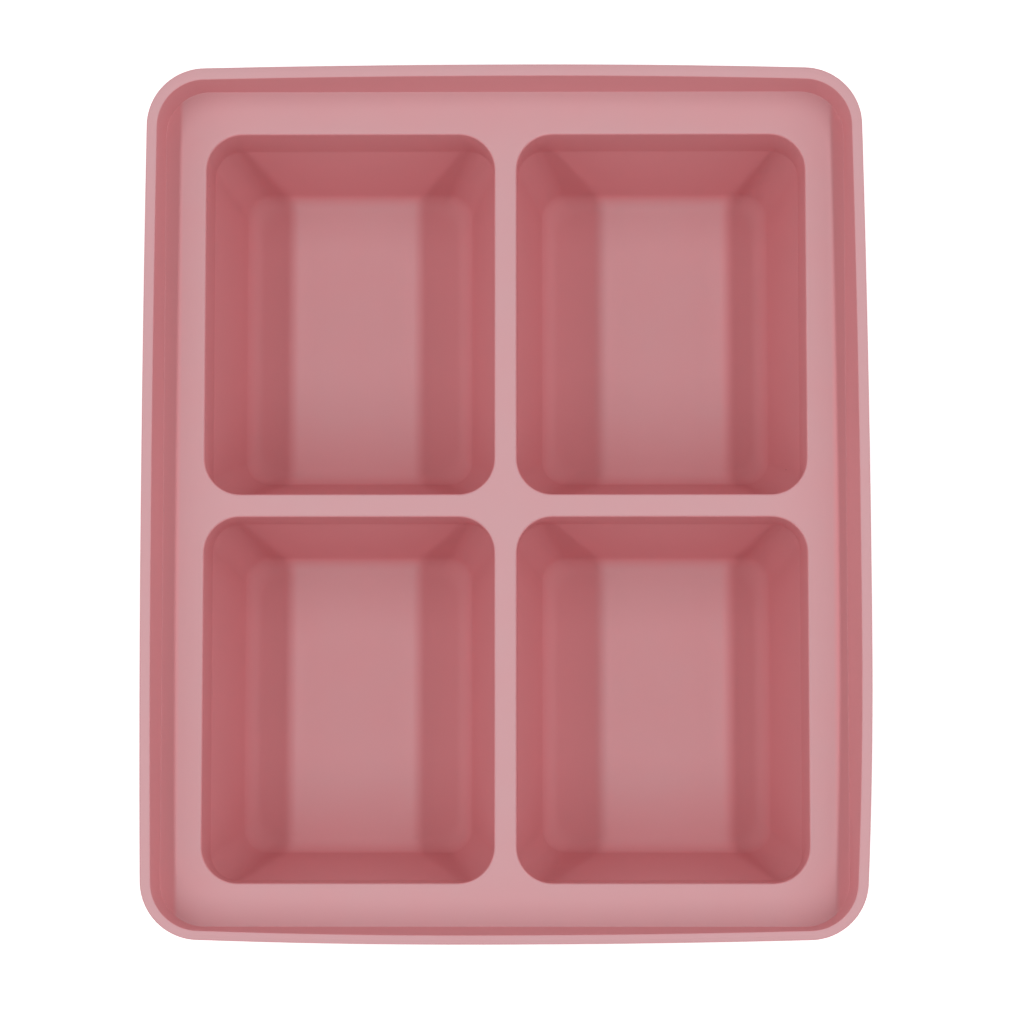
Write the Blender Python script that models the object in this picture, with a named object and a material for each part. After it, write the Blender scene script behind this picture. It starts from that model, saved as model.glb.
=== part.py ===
"""Silicone block mould with four wells in a tray, a raised rim lip and a steel hoop in the rim.

Everything is in metres with +Z up. The origin is the centre of the bounding box at its base, +X runs
along the short side and +Y along the long side. The moulding is cut into zones along its natural
flex lines: each well is a wall that stays with the tray and a floor panel that presses upwards.
"""

import math

import bmesh
import bpy

MM = 0.001

# Wells: two columns by two rows. A steep upper band, a crease, then a drafted wall down to the floor.
# The end walls lean in a little more than the side walls do.
WELL_WIDTH = 72.0 * MM
WELL_LENGTH = 90.3 * MM
WELL_DEPTH = 50.0 * MM
COLUMN_WEB = 5.4 * MM
ROW_WEB = 5.5 * MM
BAND_DEPTH = 21.8 * MM
BAND_INSET = 0.14 * MM
FOOT_INSET = 7.0 * MM
FOOT_FILLET = 4.5 * MM
END_LEAN = 1.08
MOUTH_CORNER = 9.0 * MM
CREASE_CORNER = 7.0 * MM
FLOOR_CORNER = 6.5 * MM
WELLS_CENTRE = (-0.3 * MM, -0.2 * MM)

# Skin thicknesses and the clearance between neighbouring zones.
WALL_THICKNESS = 1.9 * MM
FLOOR_THICKNESS = 2.2 * MM
DECK_THICKNESS = 2.5 * MM
MOUTH_ROUNDING = 0.6 * MM
GAP = 0.3 * MM

# Feet: a flat ring under each wall carries the tray, and the floor panel sits a little above it.
FLOOR_LIFT = 0.6 * MM
FOOT_MARGIN = 4.6 * MM
FOOT_ROUNDING = 2.4 * MM

# Rim lip: it stands on the deck's edge, leans outwards and bows unevenly along its soft sides.
LIP_HEIGHT = 13.2 * MM
LIP_THICKNESS = 2.5 * MM
LIP_FOOT_HALF = (84.6 * MM, 103.65 * MM)
LIP_FOOT_CORNER = 11.0 * MM
LIP_TOP_HALF = (85.54 * MM, 104.18 * MM)
LIP_TOP_CORNER = 11.8 * MM
LIP_CENTRE = (-0.4 * MM, 0.14 * MM)
LIP_EDGE_ROUNDING = 0.4 * MM
# Outward bow at the top of each side, and where it peaks along that side, from -1 to +1 anticlockwise.
SIDE_BOWS = {
    "right": (1.4 * MM, -0.37),
    "back": (0.85 * MM, -0.1),
    "left": (0.6 * MM, 0.1),
    "front": (1.12 * MM, -0.15),
}

# Hoop: a steel wire pressed into a groove that opens downwards through a mouth narrower than the wire.
WIRE_RADIUS = 0.9 * MM
GROOVE_RADIUS = WIRE_RADIUS + GAP
GROOVE_MOUTH = 1.2 * MM
WIRE_OUTWARD = 0.6 * MM
BEAD_INWARD = 1.7 * MM
BEAD_OUTWARD = 2.6 * MM
BEAD_DEPTH = 4.2 * MM

DECK_TOP = FLOOR_LIFT + FLOOR_THICKNESS + WELL_DEPTH
DECK_UNDER = DECK_TOP - DECK_THICKNESS
LIP_TOP = DECK_TOP + LIP_HEIGHT
CREASE_Z = DECK_TOP - BAND_DEPTH
FLOOR_TOP = FLOOR_LIFT + FLOOR_THICKNESS
BEAD_TOP = DECK_UNDER - GAP
BEAD_UNDER = BEAD_TOP - BEAD_DEPTH
WIRE_Z = BEAD_TOP - 0.55 * BEAD_DEPTH
DRAFT = math.atan2(FOOT_INSET - BAND_INSET, CREASE_Z - FLOOR_TOP)

WELLS_CORNER_STEPS = 7
RIM_CORNER_STEPS = 8
RIM_SIDE_STEPS = 6

SILICONE = (0.60, 0.29, 0.31, 1.0)
STEEL = (0.56, 0.56, 0.57, 1.0)


def clear_scene():
    for obj in list(bpy.data.objects):
        bpy.data.objects.remove(obj)


def plain_material(name, colour, roughness, metallic):
    material = bpy.data.materials.new(name)
    material.use_nodes = True
    shader = material.node_tree.nodes["Principled BSDF"]
    shader.inputs["Base Color"].default_value = colour
    shader.inputs["Roughness"].default_value = roughness
    shader.inputs["Metallic"].default_value = metallic
    return material


def rounded_rectangle(half_x, half_y, radius, z, corner_steps, side_steps=1, bows=(0, 0, 0, 0)):
    """Points round a rounded rectangle, anticlockwise from the right side's lower end.

    Each bow is a depth and a peak position for the sides right, back, left and front in turn.
    """
    corners = [(1, -1, -90), (1, 1, 0), (-1, 1, 90), (-1, -1, 180)]
    points = []
    for side, (sign_x, sign_y, start) in enumerate(corners):
        centre = (sign_x * (half_x - radius), sign_y * (half_y - radius))
        for step in range(corner_steps + 1):
            angle = math.radians(start + 90 * step / corner_steps)
            x = centre[0] + radius * math.cos(angle)
            y = centre[1] + radius * math.sin(angle)
            points.append((x, y, z))
        points += bowed_side(half_x, half_y, radius, z, side, side_steps, bows[side])
    return points


def bowed_side(half_x, half_y, radius, z, side, steps, bow):
    """The points between the two corners of one side, pushed outwards along a smooth bow."""
    if steps == 1:
        return []
    depth, peak = bow
    along_half = (half_y if side in (0, 2) else half_x) - radius
    across = half_x if side in (0, 2) else half_y
    points = []
    for step in range(1, steps):
        s = -1 + 2 * step / steps
        reach = 1 - peak if s > peak else 1 + peak
        outward = across + depth * (1 - ((s - peak) / reach) ** 2)
        along = s * along_half
        x, y = ((outward, along), (-along, outward), (-outward, -along), (along, -outward))[side]
        points.append((x, y, z))
    return points


def mesh_from_sections(name, sections, is_ring):
    """A closed skin through outlines with equal point counts, either a ring or a capped stack."""
    mesh = bpy.data.meshes.new(name)
    bm = bmesh.new()
    loops = [[bm.verts.new(point) for point in section] for section in sections]
    pairs = list(zip(loops, loops[1:]))
    if is_ring:
        pairs.append((loops[-1], loops[0]))
    else:
        bm.faces.new(loops[0])
        bm.faces.new(loops[-1])
    count = len(loops[0])
    for lower, upper in pairs:
        for i in range(count):
            j = (i + 1) % count
            bm.faces.new((lower[i], lower[j], upper[j], upper[i]))
    bmesh.ops.recalc_face_normals(bm, faces=bm.faces)
    bm.to_mesh(mesh)
    bm.free()
    mesh.shade_smooth()
    mesh.set_sharp_from_angle(angle=math.radians(35))
    return mesh


def add_object(name, mesh, material, location=(0, 0, 0)):
    obj = bpy.data.objects.new(name, mesh)
    obj.location = location
    if material is not None:
        obj.data.materials.clear()
        obj.data.materials.append(material)
    bpy.context.collection.objects.link(obj)
    return obj


def arc(centre, radius, start, end, steps):
    """Points of an arc in a profile plane, with its angles in degrees."""
    angles = [math.radians(start + (end - start) * step / steps) for step in range(steps + 1)]
    return [(centre[0] + radius * math.cos(a), centre[1] + radius * math.sin(a)) for a in angles]


def well_section(inset, corner, z):
    """A well's outline, inset from its mouth, centred on the well."""
    half_x = WELL_WIDTH / 2 - inset
    half_y = WELL_LENGTH / 2 - (inset * END_LEAN if inset > 0 else inset)
    return rounded_rectangle(half_x, half_y, corner, z, WELLS_CORNER_STEPS)


def corner_at(z):
    """Corner radius of a well's inner face at a height."""
    if z > CREASE_Z:
        return CREASE_CORNER + (MOUTH_CORNER - CREASE_CORNER) * (z - CREASE_Z) / BAND_DEPTH
    share = max(0.0, z - FLOOR_TOP) / (CREASE_Z - FLOOR_TOP)
    return FLOOR_CORNER + (CREASE_CORNER - FLOOR_CORNER) * share


def well_centres():
    pitch_x = (WELL_WIDTH + COLUMN_WEB) / 2
    pitch_y = (WELL_LENGTH + ROW_WEB) / 2
    for row, sign_y in (("back", 1), ("front", -1)):
        for column, sign_x in (("left", -1), ("right", 1)):
            x = WELLS_CENTRE[0] + sign_x * pitch_x
            y = WELLS_CENTRE[1] + sign_y * pitch_y
            yield f"{row}_{column}", (x, y, 0.0)


def fillet_centre_inset():
    """Inset of the centre of the arc that joins the drafted wall to the floor."""
    return FOOT_INSET + FOOT_FILLET * math.tan((math.pi / 2 - DRAFT) / 2)


def wall_profile():
    """Inset, corner radius and height round a wall's section: down the inside, up the outside."""
    draft = math.degrees(DRAFT)
    top = DECK_UNDER - GAP
    inner = [(0.0, top), (BAND_INSET, CREASE_Z)]
    centre = (fillet_centre_inset(), FLOOR_TOP + FOOT_FILLET)
    inner += arc(centre, FOOT_FILLET, 180 + draft, 270, 4)
    margin = FOOT_INSET + FOOT_MARGIN
    inner += [(margin, FLOOR_TOP), (margin, 0.0)]
    profile = [(inset, corner_at(z), z) for inset, z in inner]
    across = WALL_THICKNESS / math.cos(DRAFT)
    foot = FOOT_INSET - across + FLOOR_TOP * math.tan(DRAFT)
    rounding = (foot + FOOT_ROUNDING * math.tan((math.pi / 2 - DRAFT) / 2), FOOT_ROUNDING)
    outer = arc(rounding, FOOT_ROUNDING, 270, 180 + draft, 3)
    outer += [(BAND_INSET - WALL_THICKNESS, CREASE_Z), (-WALL_THICKNESS, top)]
    profile += [(inset, corner_at(z) + WALL_THICKNESS, z) for inset, z in outer]
    return profile


def build_walls(material):
    sections = [well_section(inset, corner, z) for inset, corner, z in wall_profile()]
    mesh = mesh_from_sections("well_wall", sections, is_ring=True)
    mesh.materials.append(material)
    for name, centre in well_centres():
        add_object(f"well_wall_{name}", mesh, None, centre)


def build_floors(material):
    """One panel for each well, with its origin on the line that it presses up along."""
    inset = FOOT_INSET + FOOT_MARGIN + GAP
    edge = 0.4 * MM
    steps = [
        (inset + edge, FLOOR_LIFT),
        (inset, FLOOR_LIFT + edge),
        (inset, FLOOR_TOP),
    ]
    sections = [well_section(i, FLOOR_CORNER - GAP, z) for i, z in steps]
    mesh = mesh_from_sections("well_floor", sections, is_ring=False)
    mesh.materials.append(material)
    for name, centre in well_centres():
        add_object(f"well_floor_{name}", mesh, None, centre)


def rim_outline(outward, z):
    """An outline round the rim, measured outwards from the lip's inner face at that height."""
    lean = min(max((z - DECK_TOP) / LIP_HEIGHT, 0.0), 1.0)
    half_x, half_y = (
        foot + (top - foot) * lean + outward for foot, top in zip(LIP_FOOT_HALF, LIP_TOP_HALF)
    )
    corner = LIP_FOOT_CORNER + (LIP_TOP_CORNER - LIP_FOOT_CORNER) * lean + outward
    bows = [(depth * lean, peak) for depth, peak in SIDE_BOWS.values()]
    points = rounded_rectangle(half_x, half_y, corner, z, RIM_CORNER_STEPS, RIM_SIDE_STEPS, bows)
    return [(x + LIP_CENTRE[0], y + LIP_CENTRE[1], z) for x, y, z in points]


def lip_profile():
    """Outward distance and height round the lip's section, from the top's inner edge outwards."""
    edge = LIP_EDGE_ROUNDING
    inner_edge = arc((edge, LIP_TOP - edge), edge, 180, 90, 2)
    outer_edge = arc((LIP_THICKNESS - edge, LIP_TOP - edge), edge, 90, 0, 2)
    mouth = math.degrees(math.asin(GROOVE_MOUTH / 2 / GROOVE_RADIUS))
    groove = arc((WIRE_OUTWARD, WIRE_Z), GROOVE_RADIUS, -90 + mouth, 270 - mouth, 10)
    half_mouth = GROOVE_MOUTH / 2
    return (
        inner_edge
        + outer_edge
        + [
            (LIP_THICKNESS, DECK_TOP),
            (BEAD_OUTWARD, BEAD_TOP),
            (BEAD_OUTWARD, BEAD_UNDER),
            (WIRE_OUTWARD + half_mouth, BEAD_UNDER),
        ]
        + groove
        + [
            (WIRE_OUTWARD - half_mouth, BEAD_UNDER),
            (-BEAD_INWARD, BEAD_UNDER),
            (-BEAD_INWARD, BEAD_TOP),
            (0.0, BEAD_TOP),
            (0.0, DECK_TOP),
        ]
    )


def build_lip(material):
    sections = [rim_outline(outward, z) for outward, z in lip_profile()]
    add_object("rim_lip", mesh_from_sections("rim_lip", sections, is_ring=True), material)


def build_wire(material):
    circle = arc((WIRE_OUTWARD, WIRE_Z), WIRE_RADIUS, 0, 360, 10)[:-1]
    sections = [rim_outline(outward, z) for outward, z in circle]
    add_object("rim_wire", mesh_from_sections("rim_wire", sections, is_ring=True), material)


def mouth_cutter(name, centre):
    """A hidden plug that opens the deck over one well and rounds the edge of its mouth."""
    above = 5 * MM
    rounding = arc(
        (-MOUTH_ROUNDING, DECK_TOP - MOUTH_ROUNDING), MOUTH_ROUNDING, 0, 90, 3
    )
    steps = [(0.0, DECK_UNDER - above)] + rounding + [(-MOUTH_ROUNDING, DECK_TOP + above)]
    sections = [well_section(inset, MOUTH_CORNER - inset, z) for inset, z in steps]
    cutter = add_object(name, mesh_from_sections(name, sections, is_ring=False), None, centre)
    cutter.hide_render = True
    cutter.display_type = "WIRE"
    return cutter


def build_deck(material):
    sections = [rim_outline(-GAP, DECK_UNDER), rim_outline(-GAP, DECK_TOP)]
    deck = add_object("tray_deck", mesh_from_sections("tray_deck", sections, is_ring=False), material)
    for name, centre in well_centres():
        cut = deck.modifiers.new(f"mouth_{name}", "BOOLEAN")
        cut.operation = "DIFFERENCE"
        cut.solver = "EXACT"
        cut.object = mouth_cutter(f"mouth_cutter_{name}", centre)


def main():
    clear_scene()
    build_deck(plain_material("deck_silicone", SILICONE, 0.55, 0.0))
    build_lip(plain_material("lip_silicone", SILICONE, 0.55, 0.0))
    build_wire(plain_material("hoop_steel", STEEL, 0.3, 1.0))
    build_walls(plain_material("wall_silicone", SILICONE, 0.55, 0.0))
    build_floors(plain_material("floor_silicone", SILICONE, 0.55, 0.0))


main()
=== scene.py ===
"""Looks of the silicone block mould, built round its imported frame. Units are metres, +Z is up."""

import math

import bmesh
import bpy
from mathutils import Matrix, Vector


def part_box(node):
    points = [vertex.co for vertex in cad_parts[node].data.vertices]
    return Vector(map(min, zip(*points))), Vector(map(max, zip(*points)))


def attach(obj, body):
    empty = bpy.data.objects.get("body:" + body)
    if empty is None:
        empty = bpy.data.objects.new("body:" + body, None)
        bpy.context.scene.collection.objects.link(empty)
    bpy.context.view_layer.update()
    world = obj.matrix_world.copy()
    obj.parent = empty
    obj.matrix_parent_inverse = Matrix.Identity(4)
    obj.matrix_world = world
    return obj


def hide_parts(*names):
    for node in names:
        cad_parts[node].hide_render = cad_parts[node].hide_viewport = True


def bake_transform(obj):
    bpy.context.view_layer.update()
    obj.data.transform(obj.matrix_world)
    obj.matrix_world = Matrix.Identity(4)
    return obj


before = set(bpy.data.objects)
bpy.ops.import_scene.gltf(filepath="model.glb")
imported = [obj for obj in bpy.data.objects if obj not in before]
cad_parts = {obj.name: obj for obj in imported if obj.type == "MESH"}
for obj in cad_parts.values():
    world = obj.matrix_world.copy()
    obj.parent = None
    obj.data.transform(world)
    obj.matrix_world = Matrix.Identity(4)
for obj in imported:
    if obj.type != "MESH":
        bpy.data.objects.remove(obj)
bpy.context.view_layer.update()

MM = 0.001
WELLS = ("back_left", "back_right", "front_left", "front_right")

# Heights, taken from the frame.
DECK_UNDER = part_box("tray_deck")[0].z
DECK_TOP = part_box("tray_deck")[1].z
LIP_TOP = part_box("rim_lip")[1].z
BEAD_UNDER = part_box("rim_lip")[0].z
FLOOR_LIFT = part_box("well_floor_back_left")[0].z
FLOOR_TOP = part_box("well_floor_back_left")[1].z
LIP_HEIGHT = LIP_TOP - DECK_TOP

# Well section: a steep band under the mouth, a crease, a drafted wall, a foot fillet and a flat floor.
# The end walls, front and back, lean in a little more, and the floor sits a little to the front.
WALL_THICKNESS = 1.9 * MM
WELL_BOX = [high - low for low, high in zip(*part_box("well_wall_back_left"))]
WELL_HALF = (WELL_BOX[0] / 2 - WALL_THICKNESS, WELL_BOX[1] / 2 - WALL_THICKNESS)
BAND_DEPTH = 21.8 * MM
MOUTH_INSET = 0.08 * MM
BAND_INSET = 0.14 * MM
FOOT_INSET = 7.0 * MM
FOOT_FILLET = 4.5 * MM
END_LEAN = 1.08
END_SHIFT = 0.03
MOUTH_CORNER = 9.0 * MM
CREASE_CORNER = 7.0 * MM
FLOOR_CORNER = 6.5 * MM
MOUTH_ROUNDING = 0.6 * MM
CREASE_ROUNDING = 4.0 * MM
UNDER_ROUNDING = 0.4 * MM
FOOT_ROUNDING = 2.4 * MM
FOOT_RING_INSET = 11.6 * MM
CREASE_Z = DECK_TOP - BAND_DEPTH
SEAM_RISE = 1.2 * MM
SEAM_Z = CREASE_Z + SEAM_RISE
DRAFT = math.atan2(FOOT_INSET - BAND_INSET, CREASE_Z - FLOOR_TOP)

# The grid of wells. The shift sets them a hair to the front right of their solids.
WELL_SHIFT = (0.12 * MM, -0.10 * MM)
WELLS_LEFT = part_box("well_wall_back_left")[0].x
WELLS_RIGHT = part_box("well_wall_back_right")[1].x
WELLS_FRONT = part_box("well_wall_front_left")[0].y
WELLS_MIDDLE = (WELLS_LEFT + WELLS_RIGHT) / 2 + WELL_SHIFT[0]
COLUMNS_PITCH = WELLS_RIGHT - WELLS_LEFT - WELL_BOX[0]
ROWS_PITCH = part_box("well_wall_back_left")[0].y - WELLS_FRONT

# Lip section, measured outwards from its inner face, which sits a little to the front of the outer one.
# The lip leans out and bows along its right, back, left and front sides. A bow is its depth and where
# it peaks, from -1 to +1 anticlockwise.
LIP_THICKNESS = 2.5 * MM
LIP_FOOT_HALF = (84.6 * MM, 103.65 * MM)
LIP_FOOT_CORNER = 11.0 * MM
LIP_TOP_HALF = (85.54 * MM, 104.18 * MM)
LIP_TOP_CORNER = 11.8 * MM
LIP_CENTRE = (-0.4 * MM, 0.14 * MM)
LIP_INNER_SHIFT = -0.32 * MM
LIP_INNER_LEAN = 0.1 * MM
LIP_FOOT_FILLET = 0.12 * MM
LIP_INNER_ROUNDING = 0.25 * MM
LIP_OUTER_ROUNDING = 0.45 * MM
LIP_CROWN_ANGLE = 15
SIDE_BOWS = ((1.4 * MM, -0.37), (0.85 * MM, -0.1), (0.6 * MM, 0.1), (1.12 * MM, -0.15))
BEAD_OUTWARD = 2.6 * MM
BEAD_INWARD = 1.7 * MM
BEAD_TOP = DECK_UNDER - 0.3 * MM
BEAD_ROUNDING = 0.5 * MM

# Hoop and its groove.
WIRE_Z = (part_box("rim_wire")[0].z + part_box("rim_wire")[1].z) / 2
WIRE_RADIUS = 0.9 * MM
WIRE_OUTWARD = 0.6 * MM
GROOVE_RADIUS = 1.2 * MM
GROOVE_MOUTH = 1.2 * MM

# Fineness of the meshes: the step beside each edge, the shortest run that gets one, the longest steps
# along the profiles, and the turn in degrees above which an edge is sharp.
SUPPORT = 0.35 * MM
SHORTEST_RUN = 3 * SUPPORT
RIM_STEP = 5.0 * MM
BAND_STEP = 6.0 * MM
WALL_STEP = 2.0 * MM
SHARP_ANGLE = 30

# Steps round the outlines, then round the arcs of the sections.
WELL_CORNER_STEPS = 14
WELL_SIDE_STEPS = 4
RIM_CORNER_STEPS = 20
RIM_SIDE_STEPS = 36
ROUNDING_STEPS = 4
LIP_CROWN_STEPS = 6
LIP_OUTER_STEPS = 5
GROOVE_STEPS = 18
WIRE_STEPS = 20
MOUTH_STEPS = 6
FOOT_FILLET_STEPS = 12
FOOT_ROUNDING_STEPS = 8
FOOT_RING_STEPS = 3


# ---------------------------------------------------------------- outlines and profiles


def rounded_rectangle(half_x, half_y, corner, z, corner_steps, side_steps, bows=None):
    """Points round a rounded rectangle, anticlockwise from the start of its front right corner."""
    turns = ((1, -1, -90), (1, 1, 0), (-1, 1, 90), (-1, -1, 180))
    points = []
    for side, (sign_x, sign_y, start) in enumerate(turns):
        for step in range(corner_steps + 1):
            angle = math.radians(start + 90 * step / corner_steps)
            x = sign_x * (half_x - corner) + corner * math.cos(angle)
            y = sign_y * (half_y - corner) + corner * math.sin(angle)
            points.append((x, y, z))
        upright = side in (0, 2)
        along_half = (half_y if upright else half_x) - corner
        across = half_x if upright else half_y
        for step in range(1, side_steps):
            s = -1 + 2 * step / side_steps
            outward = across + (bow_at(s, *bows[side]) if bows else 0.0)
            along = s * along_half
            turned = ((outward, along), (-along, outward), (-outward, -along), (along, -outward))
            points.append((*turned[side], z))
    return points


def bow_at(s, depth, peak):
    """Outward bow at a place from -1 to +1 along a side."""
    reach = 1 - peak if s > peak else 1 + peak
    return depth * (1 - ((s - peak) / reach) ** 2)


def corner_at(z):
    """Corner radius of a well's inner face at a height."""
    if z > CREASE_Z:
        return CREASE_CORNER + (MOUTH_CORNER - CREASE_CORNER) * (z - CREASE_Z) / BAND_DEPTH
    share = max(0.0, z - FLOOR_TOP) / (CREASE_Z - FLOOR_TOP)
    return FLOOR_CORNER + (CREASE_CORNER - FLOOR_CORNER) * share


def well_outline(centre, inset, z, thickness):
    """A well's outline at a height, inset from its mouth, on its inner or its outer face."""
    corner = corner_at(z) + thickness
    if z > DECK_TOP - MOUTH_ROUNDING and thickness == 0.0:
        corner = MOUTH_CORNER - inset
    half_x = WELL_HALF[0] - inset
    half_y = WELL_HALF[1] - (inset * END_LEAN if inset > 0 else inset)
    points = rounded_rectangle(half_x, half_y, corner, z, WELL_CORNER_STEPS, WELL_SIDE_STEPS)
    shift = max(inset, 0.0) * END_SHIFT
    return [(x + centre[0], y + centre[1] - shift, z) for x, y, z in points]


def rim_outline(outward, z):
    """An outline round the rim at a height, measured outwards from the lip's inner face."""
    lean = min(max((z - DECK_TOP) / LIP_HEIGHT, 0.0), 1.0)
    half_x, half_y = (
        foot + (top - foot) * lean + outward for foot, top in zip(LIP_FOOT_HALF, LIP_TOP_HALF)
    )
    corner = LIP_FOOT_CORNER + (LIP_TOP_CORNER - LIP_FOOT_CORNER) * lean + outward
    bows = [(depth * lean, peak) for depth, peak in SIDE_BOWS]
    points = rounded_rectangle(half_x, half_y, corner, z, RIM_CORNER_STEPS, RIM_SIDE_STEPS, bows)
    inner_face = z >= DECK_TOP and outward < LIP_THICKNESS / 2
    shift = LIP_INNER_SHIFT if inner_face else 0.0
    return [(x + LIP_CENTRE[0], y + LIP_CENTRE[1] + shift, z) for x, y, z in points]


def arc(centre, radius, start, end, steps):
    """Points of an arc in a section, with its angles in degrees."""
    angles = [math.radians(start + (end - start) * step / steps) for step in range(steps + 1)]
    return [(centre[0] + radius * math.cos(a), centre[1] + radius * math.sin(a)) for a in angles]


def with_supports(profile, longest):
    """The profile with a point near each end of its straight runs, and no step over longest."""
    result = [profile[0]]
    for (a0, a1), (b0, b1) in zip(profile, profile[1:]):
        length = math.hypot(b0 - a0, b1 - a1)
        if length > SHORTEST_RUN:
            inner = max(1, math.ceil((length - 2 * SUPPORT) / longest))
            stops = [SUPPORT + (length - 2 * SUPPORT) * k / inner for k in range(inner + 1)]
            result += [(a0 + (b0 - a0) * s / length, a1 + (b1 - a1) * s / length) for s in stops]
        result.append((b0, b1))
    return result


# ---------------------------------------------------------------- meshes


def add_loop(bm, points):
    return [bm.verts.new(point) for point in points]


def skin_loops(bm, loops):
    """Quads between each loop and the next."""
    for lower, upper in zip(loops, loops[1:]):
        count = len(lower)
        for i in range(count):
            j = (i + 1) % count
            bm.faces.new((lower[i], lower[j], upper[j], upper[i]))


def fill_between(bm, loops):
    """A flat face between an outer loop and the loops inside it."""
    edges = []
    for loop in loops:
        edges += [bm.edges.get((a, b)) for a, b in zip(loop, loop[1:] + loop[:1])]
    bmesh.ops.triangle_fill(bm, use_beauty=True, use_dissolve=False, edges=edges)


def finish_mesh(name, bm, material):
    """The object of a mesh, smooth but for edges that turn by more than SHARP_ANGLE."""
    bmesh.ops.recalc_face_normals(bm, faces=bm.faces)
    mesh = bpy.data.meshes.new(name)
    bm.to_mesh(mesh)
    bm.free()
    mesh.shade_smooth()
    mesh.set_sharp_from_angle(angle=math.radians(SHARP_ANGLE))
    mesh.materials.append(material)
    obj = bpy.data.objects.new(name, mesh)
    bpy.context.scene.collection.objects.link(obj)
    return obj


# ---------------------------------------------------------------- the moulding


def well_centre(well):
    low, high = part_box(f"well_wall_{well}")
    return ((low.x + high.x) / 2 + WELL_SHIFT[0], (low.y + high.y) / 2 + WELL_SHIFT[1])


def well_loops(bm, centre, profile, thickness):
    return [add_loop(bm, well_outline(centre, inset, z, thickness)) for inset, z in profile]


def band_inset(z):
    """Inset of a well's steep band at a height."""
    return MOUTH_INSET + (BAND_INSET - MOUTH_INSET) * (DECK_TOP - z) / BAND_DEPTH


def lip_top_profile():
    """The lip's slightly crowned land between its two rounded edges, from inside to outside."""
    inner, outer, tilt = LIP_INNER_ROUNDING, LIP_OUTER_ROUNDING, LIP_CROWN_ANGLE
    lean = math.sin(math.radians(tilt))
    rise = math.cos(math.radians(tilt))
    width = LIP_THICKNESS + LIP_INNER_LEAN
    crown = ((width - inner - outer) / lean + inner + outer) / 2
    middle = inner - LIP_INNER_LEAN + (crown - inner) * lean
    base = LIP_TOP - crown
    inner_centre = (middle - (crown - inner) * lean, base + (crown - inner) * rise)
    outer_centre = (middle + (crown - outer) * lean, base + (crown - outer) * rise)
    profile = arc(inner_centre, inner, 180, 90 + tilt, ROUNDING_STEPS)
    profile += arc((middle, base), crown, 90 + tilt, 90 - tilt, LIP_CROWN_STEPS)[1:-1]
    profile += arc(outer_centre, outer, 90 - tilt, 0, LIP_OUTER_STEPS)
    return profile


def rim_profile():
    """Outward distance and height: over the lip, round the bead and under the deck."""
    foot, bead = LIP_FOOT_FILLET, BEAD_ROUNDING
    mouth = math.degrees(math.asin(GROOVE_MOUTH / 2 / GROOVE_RADIUS))
    profile = [(-foot - SUPPORT, DECK_TOP)]
    profile += arc((-foot, DECK_TOP + foot), foot, 270, 360, ROUNDING_STEPS)
    profile += lip_top_profile()
    profile += [(LIP_THICKNESS, DECK_TOP), (BEAD_OUTWARD, BEAD_TOP)]
    profile += arc((BEAD_OUTWARD - bead, BEAD_UNDER + bead), bead, 0, -90, ROUNDING_STEPS)
    profile += [(WIRE_OUTWARD + GROOVE_MOUTH / 2, BEAD_UNDER)]
    groove = (WIRE_OUTWARD, WIRE_Z)
    profile += arc(groove, GROOVE_RADIUS, -90 + mouth, 270 - mouth, GROOVE_STEPS)
    profile += [(WIRE_OUTWARD - GROOVE_MOUTH / 2, BEAD_UNDER)]
    profile += arc((-BEAD_INWARD + bead, BEAD_UNDER + bead), bead, 270, 180, ROUNDING_STEPS)
    profile += [(-BEAD_INWARD, DECK_UNDER)]
    return with_supports(profile, RIM_STEP)


def band_profile():
    """Inset and height down the inside of a well, from the deck to the seam above the crease."""
    rounding = MOUTH_ROUNDING
    outer = MOUTH_INSET - rounding
    profile = [(outer - SUPPORT, DECK_TOP)]
    profile += arc((outer, DECK_TOP - rounding), rounding, 90, 0, MOUTH_STEPS)
    profile += [(band_inset(SEAM_Z), SEAM_Z)]
    return with_supports(profile, BAND_STEP)


def band_outside():
    """The same band's outer face, from the seam up to the deck's underside."""
    rounding = UNDER_ROUNDING
    profile = [(band_inset(SEAM_Z) - WALL_THICKNESS, SEAM_Z)]
    corner = (-WALL_THICKNESS - rounding, DECK_UNDER - rounding)
    profile += arc(corner, rounding, 0, 90, ROUNDING_STEPS)
    return with_supports(profile, BAND_STEP)


def tray_top(material):
    """The lip, the deck and the wells' upper bands, as one skin."""
    bm = bmesh.new()
    rim = [add_loop(bm, rim_outline(outward, z)) for outward, z in rim_profile()]
    skin_loops(bm, rim)
    tops, unders = [rim[0]], [rim[-1]]
    for well in WELLS:
        centre = well_centre(well)
        loops = well_loops(bm, centre, band_profile(), 0.0)
        loops += well_loops(bm, centre, band_outside(), WALL_THICKNESS)
        skin_loops(bm, loops)
        tops.append(loops[0])
        unders.append(loops[-1])
    fill_between(bm, tops)
    fill_between(bm, unders)
    return finish_mesh("tray_top", bm, material)


def beside_draft(inset, radius):
    """Inset of the centre of the arc that rounds off where the drafted wall meets a level at inset."""
    return inset + radius * math.tan((math.pi / 2 - DRAFT) / 2)


def cup_inside():
    """Inset and height down the inside of a cup, from the seam over the crease to the floor."""
    draft = math.degrees(DRAFT)
    reach = CREASE_ROUNDING * math.tan(DRAFT / 2)
    crease = (BAND_INSET + CREASE_ROUNDING, CREASE_Z + reach)
    foot = (beside_draft(FOOT_INSET, FOOT_FILLET), FLOOR_TOP + FOOT_FILLET)
    profile = [(band_inset(SEAM_Z), SEAM_Z)]
    profile += arc(crease, CREASE_ROUNDING, 180, 180 + draft, ROUNDING_STEPS)
    profile += arc(foot, FOOT_FILLET, 180 + draft, 270, FOOT_FILLET_STEPS)
    return with_supports(profile, WALL_STEP) + [(foot[0] + SUPPORT, FLOOR_TOP)]


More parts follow.
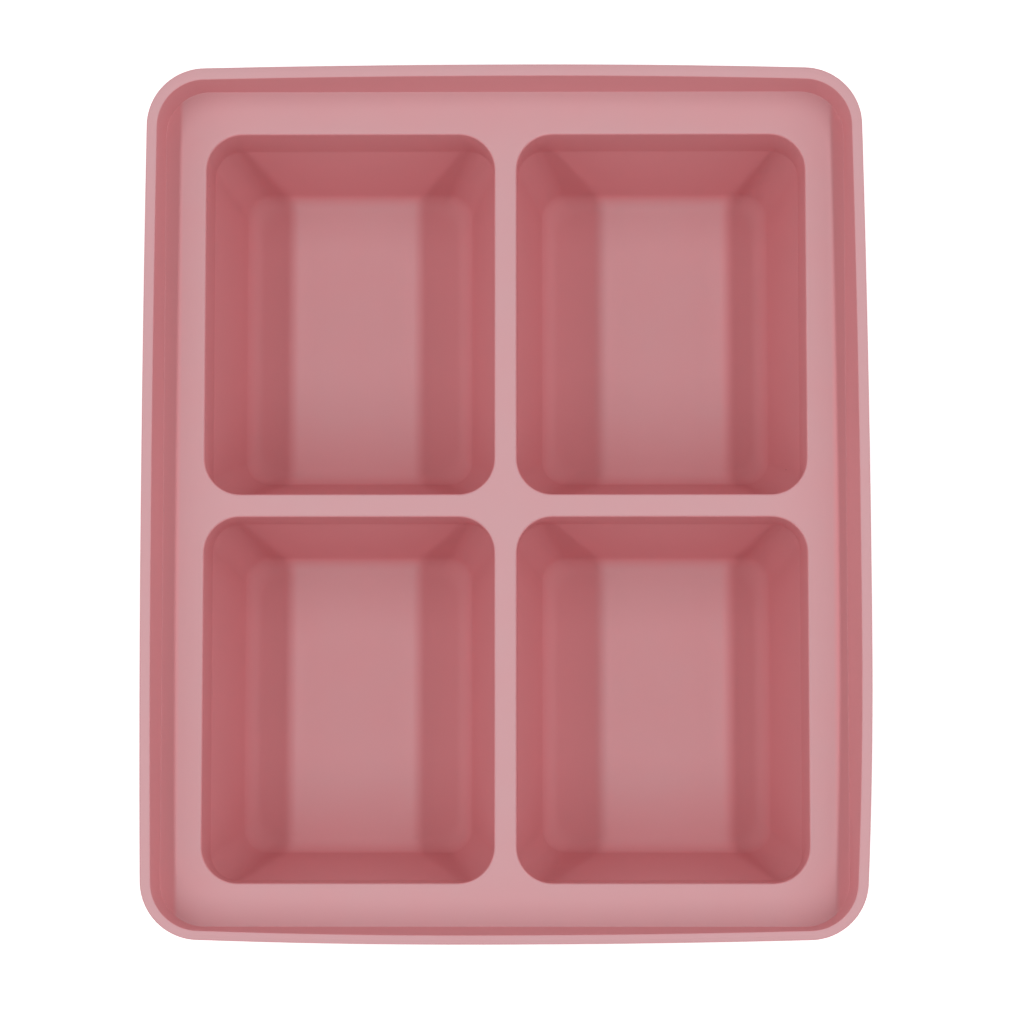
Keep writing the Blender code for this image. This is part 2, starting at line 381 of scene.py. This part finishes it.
def cup_outside():
    """Inset and height from the floor's underside round the foot ring and up the outside."""
    draft = math.degrees(DRAFT)
    across = WALL_THICKNESS / math.cos(DRAFT)
    foot_inset = FOOT_INSET - across + FLOOR_TOP * math.tan(DRAFT)
    foot = (beside_draft(foot_inset, FOOT_ROUNDING), FOOT_ROUNDING)
    radius = FLOOR_LIFT / 2
    profile = [(FOOT_RING_INSET + SUPPORT, FLOOR_LIFT)]
    profile += arc((FOOT_RING_INSET, radius), radius, 90, 180, FOOT_RING_STEPS)
    profile += arc((FOOT_RING_INSET - 2 * radius, radius), radius, 0, -90, FOOT_RING_STEPS)[1:]
    profile += arc(foot, FOOT_ROUNDING, 270, 180 + draft, FOOT_ROUNDING_STEPS)
    profile += [(BAND_INSET - WALL_THICKNESS, CREASE_Z)]
    profile += [(band_inset(SEAM_Z) - WALL_THICKNESS, SEAM_Z)]
    return with_supports(profile, WALL_STEP)


def well_cup(well, material):
    """A well below its crease: drafted walls, floor and foot ring, as one skin."""
    centre = well_centre(well)
    bm = bmesh.new()
    inside = well_loops(bm, centre, cup_inside(), 0.0)
    outside = well_loops(bm, centre, cup_outside(), WALL_THICKNESS)
    skin_loops(bm, inside)
    skin_loops(bm, outside)
    skin_loops(bm, [inside[0], outside[-1]])
    bm.faces.new(inside[-1])
    bm.faces.new(outside[0])
    return finish_mesh(f"well_cup_{well}", bm, material)


def rim_hoop(material):
    """The steel hoop, a closed tube that lies in the groove under the lip."""
    bm = bmesh.new()
    circle = arc((WIRE_OUTWARD, WIRE_Z), WIRE_RADIUS, 0, 360, WIRE_STEPS)[:-1]
    loops = [add_loop(bm, rim_outline(outward, z)) for outward, z in circle]
    skin_loops(bm, loops + [loops[0]])
    return finish_mesh("rim_hoop", bm, material)


# ---------------------------------------------------------------- materials


def new_material(name):
    material = bpy.data.materials.new(name)
    material.use_nodes = True
    tree = material.node_tree
    return material, tree, tree.nodes["Principled BSDF"]


def node(tree, kind, inputs=None, **settings):
    """A new node, with each input linked to a socket or set to a value."""
    made = tree.nodes.new(kind)
    for key, value in settings.items():
        setattr(made, key, value)
    for key, value in (inputs or {}).items():
        if isinstance(value, bpy.types.NodeSocket):
            tree.links.new(value, made.inputs[key])
        else:
            made.inputs[key].default_value = value
    return made


def noise(tree, place, scale, detail):
    inputs = {"Vector": place, "Scale": scale, "Detail": detail}
    return node(tree, "ShaderNodeTexNoise", inputs).outputs["Fac"]


def map_range(tree, value, low, high, to_low, to_high):
    ends = {"Value": value, "From Min": low, "From Max": high, "To Min": to_low, "To Max": to_high}
    return node(tree, "ShaderNodeMapRange", ends).outputs["Result"]


def maths(tree, operation, *values):
    """The result of a maths node on sockets or numbers."""
    made = node(tree, "ShaderNodeMath", dict(enumerate(values)), operation=operation)
    return made.outputs["Value"]


def mix_value(tree, factor, a, b):
    return node(tree, "ShaderNodeMix", {0: factor, 2: a, 3: b}, data_type="FLOAT").outputs[0]


def mix_colour(tree, factor, a, b):
    """A colour between a and b. The mix node's colours are its inputs 6 and 7 and its output 2."""
    return node(tree, "ShaderNodeMix", {0: factor, 6: a, 7: b}, data_type="RGBA").outputs[2]


# Noise textures: scale per metre, and detail.
MOTTLE = (45.0, 3.0)
GRAIN = (2600.0, 2.0)
PATCHES = (90.0, 4.0)
TARNISH = (300.0, 4.0)

# Silicone: its colours, the last of them painted light, its gloss and grain.
SILICONE_LIGHT = (0.755, 0.321, 0.346, 1.0)
SILICONE_DEEP = (0.735, 0.311, 0.336, 1.0)
# Painted light: the paler, greyer rose that upward, lit faces are painted with.
SILICONE_PAINTED_LIGHT = (0.672, 0.376, 0.401, 1.0)
SILICONE_ROUGHNESS = (0.54, 0.66)
SILICONE_IOR = 1.41
SILICONE_SPECULAR = 0.35
GRAIN_RELIEF = 0.04 * MM
GRAIN_STRENGTH = 0.25

# Painted light on upward faces: the upward parts of a normal at which it starts and is full, the
# height over which one level gives way to the next, and its faint patches.
PAINTED_LIGHT_UPWARD = (0.5, 0.95)
PAINTED_LIGHT_RISE = 2.0 * MM
PATCH_CONTRAST = (0.3, 0.7)
PATCH_LEAST = 0.85

# Painted shadows: beside the lip's sides and the wells' long walls, in their cast shadows, the painted
# light thins. The first of each pair is how far from the wall it starts to thin, and the fade is how
# far it then takes to reach the share left in painted shadow. It lies a little outward on the floors,
# and a little rightward on floors and deck.
DECK_SHADOW_REACH = 4.0 * MM
DECK_FADE = 1.2 * MM
FLOOR_SHADOW_REACH = 14.0 * MM
FLOOR_FADE = 3.2 * MM
FLOOR_OUTWARD = 1.6 * MM
PAINTED_LIGHT_RIGHTWARD = 0.45 * MM
SHADOWED_SHARE = 0.08
# Painted shade on the floors towards their wells' front walls: its reach, and the share left there.
FRONT_SHADE_REACH = 18.0 * MM
FRONT_SHADED_SHARE = 0.45

# Dust: a speck in one cell in five. Its edge is in cells, which makes it about 0.4 mm across.
SPECK = (0.10, 0.05, 0.05, 1.0)
SPECK_CELLS = 55.0
SPECK_EDGE = (0.008, 0.014)
SPECK_CHANCE = (0.80, 0.801)

# Hoop.
STEEL_DARK = (0.44, 0.44, 0.45, 1.0)
STEEL_BRIGHT = (0.62, 0.62, 0.63, 1.0)
STEEL_ROUGHNESS = (0.22, 0.42)


def silicone():
    """Matt dusty rose silicone: faint mottling, painted light and shadow, a satin grain and a little
    dust.
    """
    material, tree, shader = new_material("silicone")
    place = node(tree, "ShaderNodeTexCoord").outputs["Object"]
    mottle = noise(tree, place, *MOTTLE)
    colour = mix_colour(tree, mottle, SILICONE_DEEP, SILICONE_LIGHT)
    # Painted light and shadow: upward faces paler where lit, deeper in painted shadow beside walls.
    colour = mix_colour(tree, painted_light(tree, place), colour, SILICONE_PAINTED_LIGHT)
    tree.links.new(dust(tree, place, colour), shader.inputs["Base Color"])
    grain = noise(tree, place, *GRAIN)
    rough = map_range(tree, grain, 0.0, 1.0, *SILICONE_ROUGHNESS)
    tree.links.new(rough, shader.inputs["Roughness"])
    relief = {"Height": grain, "Strength": GRAIN_STRENGTH, "Distance": GRAIN_RELIEF}
    bump = node(tree, "ShaderNodeBump", relief)
    tree.links.new(bump.outputs["Normal"], shader.inputs["Normal"])
    shader.inputs["IOR"].default_value = SILICONE_IOR
    shader.inputs["Specular IOR Level"].default_value = SILICONE_SPECULAR
    return material


def painted_light(tree, place):
    """Share of painted light: on upward faces only, less in painted shadow by long walls and front
    walls.
    """
    facing = node(tree, "ShaderNodeTexCoord").outputs["Normal"]
    up = node(tree, "ShaderNodeSeparateXYZ", {"Vector": facing}).outputs["Z"]
    upward = map_range(tree, up, *PAINTED_LIGHT_UPWARD, 0.0, 1.0)
    position = node(tree, "ShaderNodeSeparateXYZ", {"Vector": place}).outputs
    z = position["Z"]
    on_deck = map_range(tree, z, DECK_TOP - PAINTED_LIGHT_RISE, DECK_TOP, 0.0, 1.0)
    on_lip = map_range(tree, z, DECK_TOP + PAINTED_LIGHT_RISE, LIP_TOP - PAINTED_LIGHT_RISE, 0.0, 1.0)
    # Painted shadow of the lip on the deck's left and right, and of the long walls on the floors.
    across = distance_from(tree, position["X"], LIP_CENTRE[0] + PAINTED_LIGHT_RIGHTWARD)
    deck = lit_middle(tree, across, LIP_FOOT_HALF[0] - DECK_SHADOW_REACH, DECK_FADE)
    across = distance_from(tree, position["X"], WELLS_MIDDLE + PAINTED_LIGHT_RIGHTWARD)
    across = distance_from(tree, across, COLUMNS_PITCH / 2 + FLOOR_OUTWARD)
    floor = lit_middle(tree, across, WELL_HALF[0] - FOOT_INSET - FLOOR_SHADOW_REACH, FLOOR_FADE)
    # Painted shade towards the wells' front walls.
    floor = maths(tree, "MULTIPLY", floor, out_of_front_shade(tree, position["Y"]))
    level = mix_value(tree, on_deck, floor, mix_value(tree, on_lip, deck, 1.0))
    patches = map_range(tree, noise(tree, place, *PATCHES), *PATCH_CONTRAST, PATCH_LEAST, 1.0)
    return maths(tree, "MULTIPLY", maths(tree, "MULTIPLY", upward, level), patches)


def distance_from(tree, value, centre):
    """How far a value is from the centre, on either side."""
    return maths(tree, "ABSOLUTE", maths(tree, "SUBTRACT", value, centre))


def lit_middle(tree, across, half, fade):
    """1 out to half, falling over the fade to the painted shadow's share beside the walls."""
    return map_range(tree, across, half, half + fade, 1.0, SHADOWED_SHARE)


def out_of_front_shade(tree, y):
    """1 over most of a floor, falling to the painted shade's share at the foot of its well's front
    wall.
    """
    foot = WELLS_FRONT + WALL_THICKNESS + FOOT_INSET * END_LEAN
    behind = maths(tree, "FLOORED_MODULO", maths(tree, "SUBTRACT", y, foot), ROWS_PITCH)
    return map_range(tree, behind, 0.0, FRONT_SHADE_REACH, FRONT_SHADED_SHARE, 1.0)


def dust(tree, place, colour):
    """A few small dark specks over a colour."""
    cells = node(tree, "ShaderNodeTexVoronoi", {"Vector": place, "Scale": SPECK_CELLS})
    near = map_range(tree, cells.outputs["Distance"], *SPECK_EDGE, 1.0, 0.0)
    chance = node(tree, "ShaderNodeSeparateColor", {"Color": cells.outputs["Color"]}).outputs["Red"]
    chosen = map_range(tree, chance, *SPECK_CHANCE, 0.0, 1.0)
    return mix_colour(tree, maths(tree, "MULTIPLY", near, chosen), colour, SPECK)


def hoop_steel():
    """Drawn spring wire: grey metal with fine tarnish."""
    material, tree, shader = new_material("hoop_steel")
    place = node(tree, "ShaderNodeTexCoord").outputs["Object"]
    tarnish = noise(tree, place, *TARNISH)
    colour = mix_colour(tree, tarnish, STEEL_DARK, STEEL_BRIGHT)
    tree.links.new(colour, shader.inputs["Base Color"])
    rough = map_range(tree, tarnish, 0.0, 1.0, *STEEL_ROUGHNESS)
    tree.links.new(rough, shader.inputs["Roughness"])
    shader.inputs["Metallic"].default_value = 1.0
    return material


# ---------------------------------------------------------------- stage, light and camera

# Lights: a narrow strip high on the left and the right, a wide panel outside each, and the surround.
LIGHT_HEIGHT = DECK_TOP + 0.95
STRIP_WATTS = 3.86
STRIP_SIZE = (0.06, 1.20)
STRIP_FRONT = -0.10
STRIP_LEFT = -0.4225
STRIP_RIGHT = 0.390
PANEL_WATTS = 6.0
PANEL_SIZE = (0.88, 2.4)
PANEL_OUT = 0.96
SURROUND_STRENGTH = 0.865
SURROUND_TOP = 0.8
SURROUND_BELOW = 0.6
SURROUND_DUSK = 0.1

# Floor.
FLOOR_HALF = 6.0
FLOOR_GAP = 0.1 * MM
FLOOR_WHITE = (0.92, 0.92, 0.92, 1.0)
FLOOR_ROUGHNESS = 0.9
FLOOR_GLOW = 0.5
WHITE = (1.0, 1.0, 1.0, 1.0)

# Camera: lens and sensor in millimetres, how far it sees, its place, and its turns in degrees.
CAMERA_LENS = 116.7
CAMERA_SENSOR = 36.0
CAMERA_REACH = 20.0
CAMERA_PLACE = (7.76 * MM, -70.42 * MM, DECK_TOP + 818.27 * MM)
CAMERA_TILT = (4.784, 0.443, 0.0)


def stage_floor():
    """A glowing white floor, hidden from diffuse rays so that it doesn't wash out the tray's sides."""
    half, z = FLOOR_HALF, -FLOOR_GAP
    mesh = bpy.data.meshes.new("floor")
    corners = [(-half, -half, z), (half, -half, z), (half, half, z), (-half, half, z)]
    mesh.from_pydata(corners, [], [(0, 1, 2, 3)])
    material, _, shader = new_material("floor_white")
    shader.inputs["Base Color"].default_value = FLOOR_WHITE
    shader.inputs["Roughness"].default_value = FLOOR_ROUGHNESS
    shader.inputs["Specular IOR Level"].default_value = 0.0
    shader.inputs["Emission Color"].default_value = WHITE
    shader.inputs["Emission Strength"].default_value = FLOOR_GLOW
    mesh.materials.append(material)
    floor = bpy.data.objects.new("floor", mesh)
    floor.visible_diffuse = False
    bpy.context.scene.collection.objects.link(floor)


def soft_light(name, x, y, size, watts):
    """A level, downward rectangle of light above the tray."""
    light = bpy.data.lights.new(name, "AREA")
    light.shape = "RECTANGLE"
    light.size, light.size_y = size
    light.energy = watts
    obj = bpy.data.objects.new(name, light)
    obj.location = (x, y, LIGHT_HEIGHT)
    bpy.context.scene.collection.objects.link(obj)


def surround():
    """A pale surround: brightest at the horizon, dimmer below it, and dark straight above."""
    world = bpy.data.worlds.new("surround")
    bpy.context.scene.world = world
    world.use_nodes = True
    tree = world.node_tree
    background = tree.nodes["Background"]
    background.inputs["Color"].default_value = WHITE
    direction = node(tree, "ShaderNodeTexCoord").outputs["Generated"]
    up = node(tree, "ShaderNodeSeparateXYZ", {"Vector": direction}).outputs["Z"]
    above = map_range(tree, up, 0.0, SURROUND_TOP, SURROUND_STRENGTH, 0.0)
    below = map_range(tree, up, -SURROUND_DUSK, 0.0, SURROUND_BELOW, 1.0)
    strength = maths(tree, "MULTIPLY", above, below)
    tree.links.new(strength, background.inputs["Strength"])


def studio():
    surround()
    for side, x in (("left", STRIP_LEFT), ("right", STRIP_RIGHT)):
        soft_light(f"strip_{side}", x, STRIP_FRONT, STRIP_SIZE, STRIP_WATTS)
        soft_light(f"panel_{side}", math.copysign(PANEL_OUT, x), 0.0, PANEL_SIZE, PANEL_WATTS)
    bpy.context.scene.view_settings.view_transform = "Standard"


def camera():
    """The camera stands almost straight above the tray, a little in front of its centre."""
    data = bpy.data.cameras.new("camera")
    data.lens = CAMERA_LENS
    data.sensor_width = CAMERA_SENSOR
    data.clip_end = CAMERA_REACH
    obj = bpy.data.objects.new("camera", data)
    obj.location = CAMERA_PLACE
    obj.rotation_euler = [math.radians(angle) for angle in CAMERA_TILT]
    bpy.context.scene.collection.objects.link(obj)
    bpy.context.scene.camera = obj


def main():
    camera()
    studio()
    stage_floor()
    rubber, steel = silicone(), hoop_steel()
    top = tray_top(rubber)
    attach(top, "tray")
    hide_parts("tray_deck", "rim_lip")
    hoop = rim_hoop(steel)
    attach(hoop, "tray")
    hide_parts("rim_wire")
    for well in WELLS:
        cup = well_cup(well, rubber)
        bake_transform(cup)
        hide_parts(f"well_wall_{well}", f"well_floor_{well}")


main()
